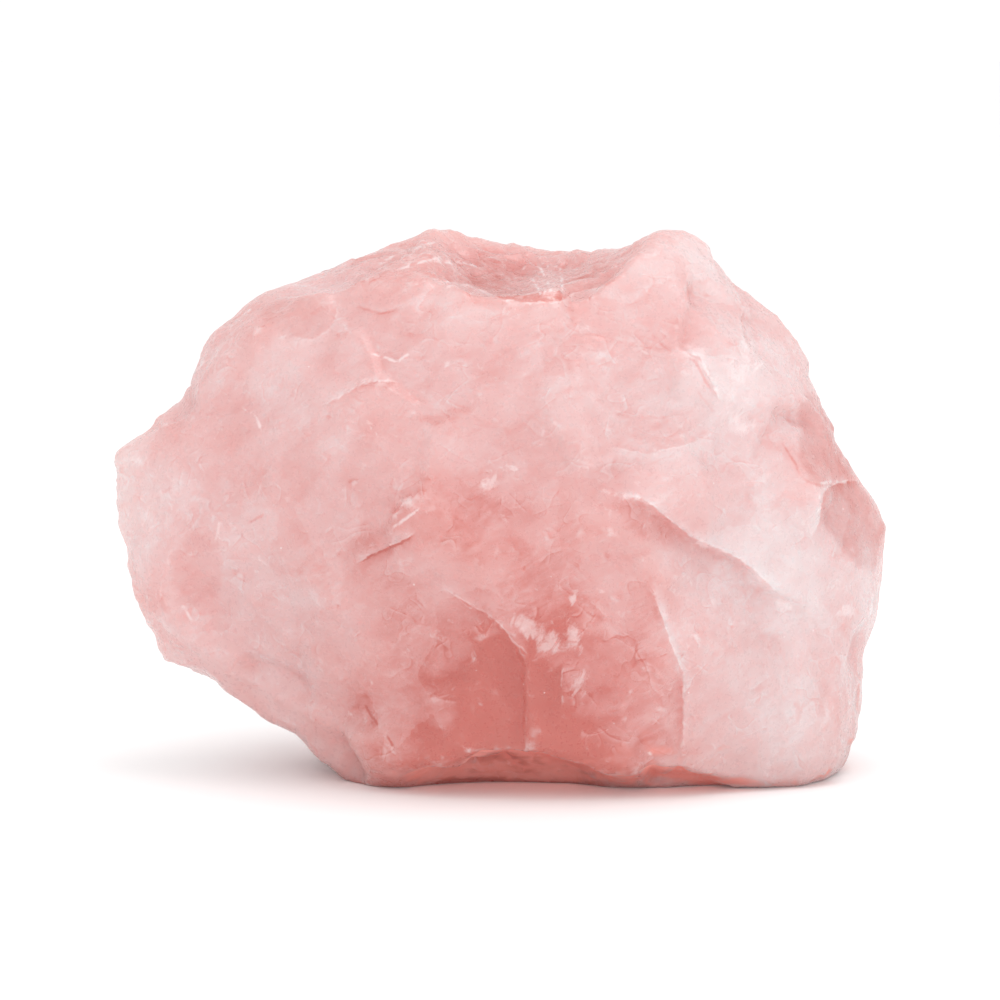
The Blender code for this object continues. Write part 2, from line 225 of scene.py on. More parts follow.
# Grooves: (name, line, depth, width)
GROOVES = [
    ("smile", [(-20.9, 66.8), (-19.1, 65.9), (-17.0, 65.3), (-15.0, 65.6), (-13.6, 66.6)], 0.22, 0.25),
    ("short cut", [(21.5, 62.4), (22.9, 60.7), (24.5, 59.7)], 0.30, 0.28),
    ("upper ripple", [(7.4, 62.1), (12.6, 62.4), (17.1, 61.4), (21.8, 60.1), (26.7, 59.1)], 0.14, 0.25),
    ("ripple", [(14.6, 51.5), (18.3, 50.6), (22.8, 50.5), (26.8, 51.3), (29.0, 53.6)], 0.16, 0.25),
    ("lower ripple", [(17.2, 48.6), (20.9, 47.6), (24.8, 47.9), (28.5, 49.6)], 0.14, 0.25),
    ("low cut", [(-19.3, 9.7), (-18.3, 7.8), (-17.0, 6.1)], 0.25, 0.25),
    ("second low cut", [(-16.2, 5.2), (-14.9, 2.9)], 0.22, 0.25),
]

# Edges between a paler side, on the left of the line, and a deeper one: (name, line, strength). The paler
# side is mostly a painted highlight along a ledge and the deeper side painted shadow below it.
LIT_AND_SHADED_EDGES = [
    ("upper right layer", [(15.5, 39.3), (19.8, 39.2), (21.2, 38.4), (23.3, 36.6), (25.4, 34.8),
                           (27.1, 33.5), (30.0, 32.2), (33.3, 30.8), (36.1, 28.8), (39.0, 25.9),
                           (41.4, 23.6)], 1.0),
    ("corner facet", [(44.0, 33.0), (45.3, 35.9), (45.5, 38.1), (46.1, 40.4), (47.8, 41.2), (49.5, 41.5),
                      (52.2, 41.4)], 1.0),
    ("right flake", [(54.4, 32.4), (53.5, 28.8), (52.7, 24.5), (51.9, 18.7), (51.4, 13.0), (50.8, 6.9)],
     0.9),
    ("lower right layer", [(20.6, 28.0), (21.9, 25.2), (23.1, 21.8), (24.4, 17.7), (25.9, 14.6),
                           (26.1, 8.0), (26.1, 2.0)], 0.8),
    ("wing", [(-9.3, 27.1), (-7.2, 25.6), (-4.3, 23.8), (-1.5, 22.3), (0.6, 20.4), (1.8, 18.6), (3.6, 17.0),
              (5.2, 15.2)], 0.6),
    ("arch", [(3.3, 15.9), (3.7, 10.1), (3.5, 5.8), (3.6, 1.9)], 0.20),
    ("square", [(8.9, 15.6), (8.6, 12.4), (8.9, 8.8)], 0.6),
    ("left streak", [(-25.8, 52.0), (-22.7, 53.3), (-20.5, 54.7), (-18.1, 55.7), (-13.5, 55.4)], 0.8),
    ("left crease", [(-20.8, 29.4), (-18.8, 30.7), (-16.2, 31.9), (-14.0, 32.8), (-11.7, 34.4)], 1.0),
    ("crest", [(25.6, 60.0), (28.1, 59.3), (28.9, 57.6), (29.9, 55.3), (31.4, 52.4)], 0.9),
    ("hollow", [(18.5, 71.0), (15.0, 69.2), (11.0, 68.4), (8.1, 66.9), (4.0, 66.8), (-0.2, 67.5),
                (-4.3, 69.3), (-8.5, 70.0), (-14.0, 71.7)], 0.8),
    ("upper left facet", [(-22.5, 67.5), (-23.6, 63.6), (-26.5, 61.6), (-30.2, 62.0)], 0.5),
    ("upper bend", [(31.5, 49.5), (27.5, 47.0), (21.0, 45.4), (14.5, 46.6)], 0.5),
]
# Thin white lines: (name, line, strength)
THREADS = [
    ("left curl", [(-36.8, 52.5), (-35.4, 51.3), (-34.3, 50.3), (-33.7, 47.9)], 0.8),
    ("above the left crease", [(-15.9, 34.4), (-14.0, 35.6), (-12.0, 37.1), (-10.8, 37.9)], 0.7),
    ("flat hook", [(-18.7, 59.7), (-16.3, 59.1), (-14.7, 58.4), (-13.2, 59.3), (-11.9, 60.3)], 0.8),
    ("left dash", [(-39.6, 36.2), (-40.0, 34.2), (-40.5, 32.2)], 0.5),
    ("left tip dash", [(-46.1, 25.6), (-44.9, 23.6), (-43.4, 21.0)], 0.7),
    ("upper hollow streak", [(-18.1, 71.7), (-14.7, 73.5), (-11.3, 74.8), (-7.7, 75.6)], 0.7),
    ("lower hollow streak", [(-15.3, 71.1), (-11.3, 72.5), (-6.8, 73.4)], 0.7),
    ("short hollow streak", [(-9.9, 72.5), (-5.4, 72.5), (-2.0, 71.7)], 0.7),
    ("left fan ray", [(6.3, 67.2), (5.0, 69.4), (4.2, 70.9)], 0.8),
    ("middle fan ray", [(7.8, 66.6), (7.0, 68.9), (5.3, 72.5)], 0.9),
    ("right fan ray", [(8.3, 66.9), (8.8, 69.2), (8.4, 72.3)], 0.8),
    ("low step", [(19.9, 2.6), (21.0, 2.9), (21.7, 2.0)], 1.0),
    ("crest", [(27.4, 59.2), (29.0, 57.5), (30.2, 55.0), (31.5, 52.5)], 0.9),
    ("first haze ray", [(31.8, 57.5), (34.5, 60.2), (36.0, 61.8)], 0.6),
    ("second haze ray", [(33.2, 56.6), (35.6, 59.0), (37.4, 61.0)], 0.7),
    ("third haze ray", [(34.6, 55.8), (36.8, 58.2), (38.4, 59.6)], 0.6),
    ("corner top", [(45.0, 41.0), (47.0, 41.5), (49.4, 41.2)], 1.0),
    ("corner side", [(45.4, 39.8), (45.2, 38.0), (45.0, 35.6)], 0.8),
    ("flake side", [(54.6, 33.0), (53.9, 29.0), (53.0, 24.0), (52.3, 19.5)], 0.9),
    ("left rim", [(-46.5, 52.0), (-43.5, 56.5), (-41.0, 59.5)], 0.6),
    ("upper left rim", [(-38.5, 62.5), (-36.5, 65.0), (-34.5, 66.6)], 0.6),
]
# Thin deep lines, partly painted shade in the grooves and creases: (name, line, strength)
CUTS = [
    ("left crease", [(-20.6, 29.5), (-18.8, 30.6), (-16.2, 31.8), (-14.0, 32.6), (-11.7, 34.2)], 0.6),
    ("smile", [(-20.9, 66.8), (-19.1, 65.9), (-17.0, 65.3), (-15.0, 65.6), (-13.6, 66.6)], 0.5),
    ("short cut", [(21.5, 62.4), (22.9, 60.7), (24.5, 59.7)], 0.5),
    ("upper ripple", [(7.4, 62.1), (12.6, 62.4), (17.1, 61.4), (21.8, 60.1), (26.7, 59.1)], 0.3),
    ("second upper ripple", [(14.0, 63.5), (19.7, 62.1), (24.2, 60.8)], 0.30),
    ("ripple", [(14.6, 51.5), (18.3, 50.6), (22.8, 50.5), (26.8, 51.3), (29.0, 53.6)], 0.28),
    ("upper arc", [(18.0, 53.6), (22.5, 53.0), (26.8, 53.3)], 0.22),
    ("lower ripple", [(17.2, 48.6), (20.9, 47.6), (24.8, 47.9), (28.5, 49.6)], 0.22),
    ("low cut", [(-19.3, 9.7), (-18.3, 7.8), (-17.0, 6.1)], 0.6),
    ("second low cut", [(-16.2, 5.2), (-14.9, 2.9)], 0.6),
    ("small cut", [(-3.2, 14.6), (-2.1, 15.7)], 0.6),
    ("left scratch", [(-35.8, 35.4), (-34.4, 36.2), (-33.2, 36.8)], 0.7),
    ("corner", [(42.4, 41.9), (44.5, 41.1), (46.1, 40.6)], 0.6),
    ("crest", [(25.0, 60.2), (27.6, 58.4), (28.9, 56.0), (30.2, 53.6)], 0.6),
    ("crest foot", [(27.6, 54.8), (29.0, 52.8), (30.6, 50.8)], 0.4),
    ("flank", [(39.5, 47.5), (41.5, 44.4), (42.8, 41.8)], 0.6),
    ("first arc", [(17.0, 56.8), (21.5, 56.0), (26.0, 56.4)], 0.25),
    ("third arc", [(20.0, 57.8), (24.0, 57.2), (27.5, 55.2)], 0.25),
]

# How much deeper or paler the colour is round a place: (name, place, radii, turn in degrees, change)
DEPTHS = [
    # The deeper colour round the arch and the lower middle is partly the stone's deeper core and partly
    # painted shade where the hollow and the floor keep light out
    ("arch core", (1.0, 5.0), (12.0, 22.0), 0, 0.24),
    ("arch", (0.0, 4.0), (31.0, 33.0), 0, 0.24),
    ("lower middle", (-5.0, 12.0), (48.0, 52.0), 0, 0.25),
    ("right of the arch", (14.0, 12.0), (16.0, 20.0), 0, 0.20),
    ("wing", (2.0, 36.0), (22.0, 14.0), 0, 0.12),
    ("left of the wing", (-7.0, 35.0), (9.0, 8.0), 0, 0.14),
    ("right of the wing", (9.6, 23.0), (9.0, 8.0), 0, 0.16),
    ("low right of the arch", (18.0, 9.0), (8.0, 11.0), 0, 0.06),
    ("low right middle", (29.0, 10.0), (10.0, 15.0), 0, 0.12),
    ("crown right", (18.0, 62.0), (9.0, 6.0), 0, -0.10),
    ("under the layer", (27.0, 29.5), (8.0, 6.0), -35, -0.14),
    # The paler left foot is painted light, lifting the shade on its down-facing side
    ("left foot", (-21.0, 3.0), (10.0, 7.0), 0, -0.14),
    # The deeper front foot is partly painted shade near the floor
    ("front foot", (6.0, 1.0), (44.0, 7.0), 0, 0.12),
    ("hollow", (2.0, 71.0), (19.0, 5.0), 0, 0.10),
    ("left of the hollow", (-14.0, 69.0), (14.0, 6.0), 10, -0.12),
    ("upper left rim", (-37.0, 63.0), (9.0, 7.0), 45, 0.10),
    ("left tip", (-51.5, 38.5), (10.0, 17.0), 8, -0.28),
    ("right haze", (37.0, 58.0), (15.0, 14.0), 30, -0.16),
    ("right peak", (25.0, 71.0), (15.0, 10.0), 0, -0.20),
    ("right middle", (40.0, 30.0), (20.0, 13.0), -20, -0.34),
    ("right foot", (38.0, 12.0), (20.0, 20.0), 0, -0.14),
    ("upper right", (27.0, 50.0), (24.0, 18.0), 0, -0.16),
    ("right flake", (54.0, 20.0), (4.5, 16.0), 5, -0.50),
    ("crown patch", (-8.0, 66.0), (9.0, 4.5), 0, -0.12),
    ("upper left haze", (-35.0, 58.5), (10.0, 6.0), 10, -0.12),
]

# Flat facets with their own depth of colour: (name, corners, change of depth, darkening). The darkening is
# painted shade, and the change of depth partly paints each facet's light and shade.
AREAS = [
    ("corner facet", [(45.5, 38.8), (45.9, 40.6), (48.1, 41.5), (50.9, 41.6), (55.5, 34.9), (54.1, 30.2),
                      (53.0, 28.2), (49.6, 30.5), (47.6, 33.1), (45.8, 35.6)], 0.12, 0.10),
    ("flank triangle", [(42.3, 52.7), (44.8, 54.4), (51.2, 41.9), (47.8, 41.5), (46.1, 40.8), (44.1, 41.9),
                        (42.8, 43.6)], 0.26, 0.06),
    ("upper left facet", [(-33.6, 66.3), (-29.7, 67.7), (-24.6, 67.2), (-24.0, 64.1), (-27.2, 61.5),
                          (-30.5, 62.1), (-33.1, 64.1)], 0.07, 0.05),
    ("crown facet", [(-22.6, 67.2), (-20.9, 70.3), (-17.0, 71.7), (-12.7, 71.1), (-11.9, 67.7),
                     (-15.6, 66.6), (-19.5, 66.6)], 0.06, 0.01),
    ("left facet", [(-46.0, 31.9), (-43.2, 34.2), (-39.5, 32.4), (-40.1, 25.9), (-44.1, 23.6),
                    (-46.3, 25.9)], 0.10, 0.02),
    ("left flank facet", [(-47.5, 51.6), (-42.4, 53.6), (-36.4, 52.5), (-37.4, 45.9), (-40.3, 40.5),
                          (-45.9, 43.1)], 0.05, 0.0),
    ("low left facet", [(-39.5, 30.2), (-28.4, 31.9), (-24.2, 24.5), (-25.4, 11.6), (-33.9, 10.1),
                        (-40.7, 15.9)], -0.05, 0.02),
    ("bevel", [(21.9, 26.8), (23.2, 24.5), (24.9, 18.7), (27.5, 13.0), (26.4, 11.6), (24.4, 16.4),
               (22.7, 21.6)], -0.16, 0.0),
    ("under layer", [(15.5, 38.8), (19.8, 38.8), (22.9, 36.2), (27.1, 33.1), (32.5, 30.2), (28.3, 30.2),
                     (22.6, 31.9), (18.4, 34.5)], 0.08, 0.02),
    ("right pale facet", [(28.3, 30.2), (36.8, 28.5), (45.4, 24.5), (49.7, 18.7), (49.2, 10.1),
                          (42.6, 15.9), (34.0, 23.1)], -0.07, 0.0),
    ("low right facet", [(28.3, 18.7), (36.9, 17.3), (46.9, 10.1), (48.7, 2.0), (37.0, 0.9), (28.4, 1.7)],
     -0.05, 0.0),
    ("fan facet", [(14.6, 54.4), (21.1, 59.8), (26.7, 58.4), (30.4, 53.0), (29.1, 47.9), (22.6, 46.5),
                   (16.3, 47.9)], 0.05, 0.01),
    ("middle facet", [(-11.4, 53.0), (-0.1, 55.9), (8.4, 52.5), (6.7, 43.1), (-4.3, 41.6), (-10.8, 45.9)],
     -0.02, 0.0),
    ("crown pale", [(-9.9, 67.2), (-0.1, 65.8), (8.4, 66.3), (14.0, 62.9), (5.6, 59.8), (-7.1, 60.7)],
     -0.06, 0.0),
]
# Half the width of a facet's border
AREA_EDGE = 0.5

# Seams with painted shadow on their right, the lower side of a step: (name, line, reach, change of depth,
# darkening)
STEP_SHADOW_SEAMS = [
    ("arch seam", [(-6.0, 27.0), (-3.0, 25.0), (0.6, 21.3), (3.0, 15.0), (3.6, 8.0), (3.8, -1.0)],
     9.0, 0.07, 0.02),
    ("right layer", [(17.0, 38.8), (22.9, 36.2), (27.1, 33.1), (34.0, 29.6), (41.0, 22.0)],
     5.0, 0.12, 0.03),
    ("square side", [(9.2, 15.3), (9.0, 9.5), (9.2, 5.0)], 3.5, 0.10, 0.04),
    ("left layer", [(-24.5, 31.0), (-18.0, 34.5), (-12.0, 38.8)], 4.0, 0.10, 0.03),
]

# White broken patches, frost and painted highlights: (name, place, radii, turn in degrees, strength)
FROST_AND_HIGHLIGHT_PATCHES = [
    ("crest white", (32.5, 50.5), (4.0, 5.0), 10, 0.50),
    ("fan white", (34.3, 57.6), (3.6, 2.8), -30, 0.50),
    ("wing", (4.2, 20.3), (4.6, 2.0), -32, 1.0),
    ("wing middle", (7.2, 18.4), (3.0, 3.0), -60, 1.0),
    ("wing right", (10.3, 19.6), (1.8, 4.2), 18, 0.9),
    ("square", (11.3, 12.4), (2.6, 3.4), 4, 0.75),
    ("middle flake", (-1.3, 41.2), (3.0, 1.9), 8, 0.9),
    ("left flake", (-13.2, 38.5), (2.8, 1.2), -12, 0.75),
    ("bow", (-3.6, 16.6), (1.2, 2.2), -20, 0.6),
    ("soft square", (-9.2, 19.3), (2.2, 1.5), 0, 0.55),
    ("tooth", (10.3, 24.8), (0.9, 2.2), 0, 0.8),
    # From the haze spark to the tip spark these are painted highlights
    ("haze spark", (34.8, 60.1), (1.6, 4.2), 30, 0.8),
    ("low haze spark", (33.6, 56.3), (2.2, 3.6), 30, 0.8),
    ("warm spot", (33.9, 49.5), (3.4, 2.4), 0, 0.85),
    ("line spot", (40.2, 23.9), (2.4, 1.1), -24, 1.0),
    ("edge spot", (49.1, 22.9), (2.2, 1.6), 0, 1.0),
    ("fan", (6.5, 69.3), (2.6, 4.6), 20, 0.60),
    ("tip spark", (-51.1, 44.2), (1.8, 1.2), 0, 0.8),
    ("tip frost", (-50.0, 36.5), (3.6, 8.0), 0, 0.35),
    ("left streak", (-18.5, 55.6), (6.0, 1.2), 8, 0.6),
    ("fleck", (-7.0, 57.8), (2.4, 0.9), 0, 0.7),
    # The layer's head and bend are painted highlights on its edge
    ("layer head", (18.6, 39.2), (2.4, 0.9), 0, 0.8),
    ("layer bend", (28.6, 32.5), (1.8, 0.9), -25, 0.9),
    ("left hollow frost", (-13.0, 73.0), (9.0, 2.6), 20, 0.45),
    ("right hollow frost", (14.5, 72.5), (4.5, 2.2), 0, 0.5),
    ("left wedge", (-43.8, 55.9), (2.0, 3.2), -25, 0.7),
    ("low left wedge", (-45.3, 15.6), (3.6, 1.6), 0, 0.6),
    ("right flake", (53.6, 20.0), (2.0, 13.0), 6, 0.5),
]


# The skin

class Skin:
    """The points of the fine skin, with what the shaping functions need to know about them."""

    def __init__(self, mesh):
        count = len(mesh.vertices)
        points = np.empty(count * 3)
        normals = np.empty(count * 3)
        mesh.vertices.foreach_get("co", points)
        mesh.vertex_normals.foreach_get("vector", normals)
        self.points = points.reshape(-1, 3) / MM + ORIGIN
        self.normals = normals.reshape(-1, 3)
        sight = EYE - self.points
        self.sight = sight / np.linalg.norm(sight, axis=1, keepdims=True)
        self.facing = (self.normals * self.sight).sum(axis=1)
        share = -EYE[1] / (self.points[:, 1] - EYE[1])
        self.places = np.stack(
            (self.points[:, 0] * share, EYE[2] + (self.points[:, 2] - EYE[2]) * share), axis=1
        )

    def shaken(self, length, seed, amount):
        """The places moved about by noise, which makes the borders drawn on them wavy."""
        shake = np.stack((waves(self.points, length, seed), waves(self.points, length, seed + 1)), axis=1)
        return self.places + shake * amount


def apply_modifiers(obj):
    graph = bpy.context.evaluated_depsgraph_get()
    mesh = bpy.data.meshes.new_from_object(obj.evaluated_get(graph))
    obj.modifiers.clear()
    obj.data = mesh


def smooth_out(obj, iterations):
    """Evens out fine bends, in this many rounds."""
    modifier = obj.modifiers.new("smooth", "SMOOTH")
    modifier.factor = 0.5
    modifier.iterations = iterations
    apply_modifiers(obj)


def fine_skin(node):
    """A fine even copy of the solid's skin, with the solid's facets smoothed away."""
    obj = bpy.data.objects.new("rose_quartz_skin", node.data.copy())
    bpy.context.scene.collection.objects.link(obj)
    remesh = obj.modifiers.new("even skin", "REMESH")
    remesh.mode = "VOXEL"
    remesh.voxel_size = SKIN_STEP * MM
    smooth_out(obj, SKIN_SMOOTHING)
    return obj


def fewer_triangles(obj):
    obj.data.calc_loop_triangles()
    count = len(obj.data.loop_triangles)
    if count > MOST_TRIANGLES:
        modifier = obj.modifiers.new("fewer triangles", "DECIMATE")
        modifier.ratio = MOST_TRIANGLES / count
        modifier.use_collapse_triangulate = True
        apply_modifiers(obj)
        obj.data.validate()


def curvature(obj, iterations):
    """How far each point stands out of the smoothed skin, in millimetres."""
    copy = bpy.data.objects.new("smoothed", obj.data.copy())
    bpy.context.scene.collection.objects.link(copy)
    smooth_out(copy, iterations)
    count = len(obj.data.vertices)
    here = np.empty(count * 3)
    there = np.empty(count * 3)
    normals = np.empty(count * 3)
    obj.data.vertices.foreach_get("co", here)
    copy.data.vertices.foreach_get("co", there)
    obj.data.vertex_normals.foreach_get("vector", normals)
    bpy.data.objects.remove(copy)
    return ((here - there).reshape(-1, 3) * normals.reshape(-1, 3)).sum(axis=1) / MM


def hill(places, place, radii, turn=0.0):
    """1 at a place on the front, falling to 0 at these radii round it."""
    offset = places - np.array(place)
    c, s = math.cos(math.radians(turn)), math.sin(math.radians(turn))
    u = (offset[:, 0] * c + offset[:, 1] * s) / radii[0]
    v = (-offset[:, 0] * s + offset[:, 1] * c) / radii[1]
    return smooth_step(np.sqrt(u * u + v * v), 1.0, 0.0)


def turn_about_y(degrees):
    c, s = math.cos(math.radians(degrees)), math.sin(math.radians(degrees))
    return np.array([[c, 0.0, s], [0.0, 1.0, 0.0], [-s, 0.0, c]])


def flakes(points, length, height, edge, seed):
    """Treads that end in crisp low steps, where thin layers lifted off."""
    layer = rough_waves(points, length, 3, seed) * FLAKE_LAYERS
    tread = layer - np.floor(layer)
    return height * (np.floor(layer) + smooth_step(tread, 0.0, edge) - layer * FLAKE_LEAN)


def broken_heights(obj, skin, front):
    """Heights of the small facets, flakes and grain over the whole skin."""
    p = skin.points
    rim = smooth_step(curvature(obj, RIM_SMOOTHING), 0.12, 0.7)
    warp = np.stack([waves(p, 5.0, 40 + k) for k in range(3)], axis=1)
    warped = p + warp * WARP
    rough = smooth_step(rough_waves(p, 22.0, 2, 31), -0.35, 0.45)
    hollow = hill(skin.places, HOLLOW_PLACE, HOLLOW_RADII)
    tilted = (warped @ turn_about_y(GRAIN_TURN)) * GRAIN_STRETCH

    height = facets(warped, **WIDE_FACETS) * (0.25 + 0.75 * (1.0 - front)) * (0.5 + rough)
    height += facets(warped, **SMALL_FACETS) * (0.25 + 0.5 * rough + 1.2 * rim)
    height += facets(warped, **HOLLOW_FACETS) * hollow
    height += flakes(tilted, **FRONT_FLAKES) * front * (0.5 + 0.6 * rough)
    height += flakes(warped, **AWAY_FLAKES) * (1.0 - front) * (0.5 + rough)
    height += GRAIN_HEIGHT * rough_waves(tilted, 1.8, 2, 5) * (0.6 + rough)
    return height


def drawn_heights(places):
    """Heights of the front's own steps and grooves."""
    height = np.zeros(len(places))
    for name, line, drop, width, fade in STEPS:
        height += step(places, line, drop, width, fade)
    for name, line, depth, width in GROOVES:
        height += groove(places, line, depth, width)
    return height


def break_up(obj):
    """The broken surface: small facets, flakes, steps, grooves and ripples."""
    skin = Skin(obj.data)
    front = smooth_step(skin.facing, 0.15, 0.6)
    moved = skin.points + skin.normals * broken_heights(obj, skin, front)[:, None]
    drawn = drawn_heights(skin.shaken(*STEP_SHAKE))
    moved += skin.sight * (drawn * front)[:, None]
    resting = skin.points[:, 2] < RESTING_HEIGHT
    moved[resting, 2] = skin.points[resting, 2]
    put_points(obj, moved)


def put_points(obj, points):
    """Sets the skin's points, kept inside the solid's box."""
    low = np.array(cad_box[0]) / MM + ORIGIN
    high = np.array(cad_box[1]) / MM + ORIGIN
    kept = (np.clip(points, low, high) - ORIGIN) * MM
    obj.data.vertices.foreach_set("co", kept.ravel())
    obj.data.update()


# Values stored on the skin, which the material reads by name

def mark(obj, name, values):
    attribute = obj.data.attributes.new(name, "FLOAT", "POINT")
    attribute.data.foreach_set("value", np.asarray(values, np.float32))


def mark_lines(obj, skin, name, lines, reach):
    """Marks how far each point is off the nearest line, with a sign, and how near that line is."""
    nearest = np.full(len(skin.points), 1e9)
    offset = np.zeros(len(skin.points))
    near = np.zeros(len(skin.points))
    for label, line, strength in lines:
        distance, side, share = along_line(skin.places, line)
        closer = distance < nearest
        nearest[closer] = distance[closer]
        offset[closer] = (side * distance * np.exp(-(distance / reach / 1.4) ** 2))[closer]
        near[closer] = (strength * np.exp(-(distance / reach) ** 2) * ends_taper(share, 0.2))[closer]
    mark(obj, name + "_offset", offset)
    mark(obj, name + "_near", near * smooth_step(skin.facing, 0.0, 0.3))


def zones(places, entries, join=np.add):
    """The entries' hills, added up or joined."""
    total = np.zeros(len(places))
    for name, place, radii, turn, strength in entries:
        total = join(total, strength * hill(places, place, radii, turn))
    return total


def inside(places, corners):
    """1 inside these corners, falling to 0 across their edge."""
    loop = corners + corners[:1]
    within = np.zeros(len(places), bool)
    for (x0, z0), (x1, z1) in zip(loop[:-1], loop[1:]):
        spans = (z0 > places[:, 1]) != (z1 > places[:, 1])
        rise = (z1 - z0) if z1 != z0 else 1e-9
        crossing = x0 + (x1 - x0) * (places[:, 1] - z0) / rise
        within ^= spans & (places[:, 0] < crossing)
    distance, side, share = along_line(places, loop)
    return smooth_step(np.where(within, distance, -distance), -AREA_EDGE, AREA_EDGE)


def facet_marks(places, front):
    """How much painted light and shade on the front's facets and seams deepen and darken the colour."""
    depth = np.zeros(len(places))
    painted_shade = np.zeros(len(places))
    for name, corners, deeper, darker in AREAS:
        share = inside(places, corners) * front
        depth += share * deeper
        painted_shade += share * darker
    for name, line, reach, deeper, darker in STEP_SHADOW_SEAMS:
        distance, side, along = along_line(places, line)
        share = smooth_step(-side * distance, -0.1, 0.5) * np.exp(-(distance / reach) ** 2)
        share *= ends_taper(along)
        depth += share * front * deeper
        painted_shade += share * front * darker
    return depth, painted_shade


def underside(skin, rim):
    """1 low on the stone where it looks down at the floor, but not on its rims or its left foot; there the
    colour gets a painted glow of light passing through the stone.
    """
    p = skin.points
    below = smooth_step(-skin.normals[:, 2], 0.15, 0.7) * smooth_step(p[:, 2], 14.0, 6.0)
    return below * (smooth_step(rim, 0.30, -0.05) * smooth_step(p[:, 0], -22.0, -14.0))


def mark_zones(obj):
    """Depth of colour, white frost and painted highlight patches, painted shade, rims and arrises."""
    skin = Skin(obj.data)
    p = skin.points
    front = smooth_step(skin.facing, 0.0, 0.35)
    rim = curvature(obj, RIM_SMOOTHING)
    below = underside(skin, rim)

    mark_lines(obj, skin, "edge", LIT_AND_SHADED_EDGES, EDGE_REACH)
    mark_lines(obj, skin, "thread", THREADS, THIN_REACH)
    mark_lines(obj, skin, "cut", CUTS, THIN_REACH)

    frost_and_highlight = zones(skin.shaken(*PATCH_SHAKE), FROST_AND_HIGHLIGHT_PATCHES, np.maximum) * front
    away_snow = smooth_step(rough_waves(p, 7.0, 3, 77), 0.62, 1.0) * 0.9
    mark(obj, "frost_and_highlight", np.maximum(frost_and_highlight, away_snow * (1.0 - front)))

    # The facets' and seams' painted shade, kept off the underside
    facet_depth, painted_facet_shade = facet_marks(skin.shaken(*AREA_SHAKE), front)
    mark(obj, "painted_shade", np.clip(painted_facet_shade, 0.0, 0.4) * (1.0 - below))
    mark(obj, "below", below)

    # Deeper colour low on the sides away from the front, partly painted shade near the floor
    foot = smooth_step(p[:, 2], 14.0, 0.0) * smooth_step(np.abs(p[:, 0] - 3.0), 45.0, 8.0)
    away_depth = 0.3 * foot + 0.26 * rough_waves(p, 28.0, 3, 71)
    front_depth = zones(skin.shaken(*DEPTH_SHAKE), DEPTHS)
    depth = 0.5 + facet_depth + front * front_depth + (1.0 - front) * away_depth
    # The underside's deeper coral is part of its painted glow
    depth += (0.86 - depth) * below
    depth += 0.22 * smooth_step(skin.normals[:, 2], 0.35, 0.75) * smooth_step(np.abs(p[:, 0]), 26.0, 14.0)
    mark(obj, "depth", depth)
    mark(obj, "rim", np.clip(rim / 0.6, -1, 1))
    mark(obj, "arris", np.clip(curvature(obj, ARRIS_SMOOTHING) / 0.10, -1, 1))


# Material

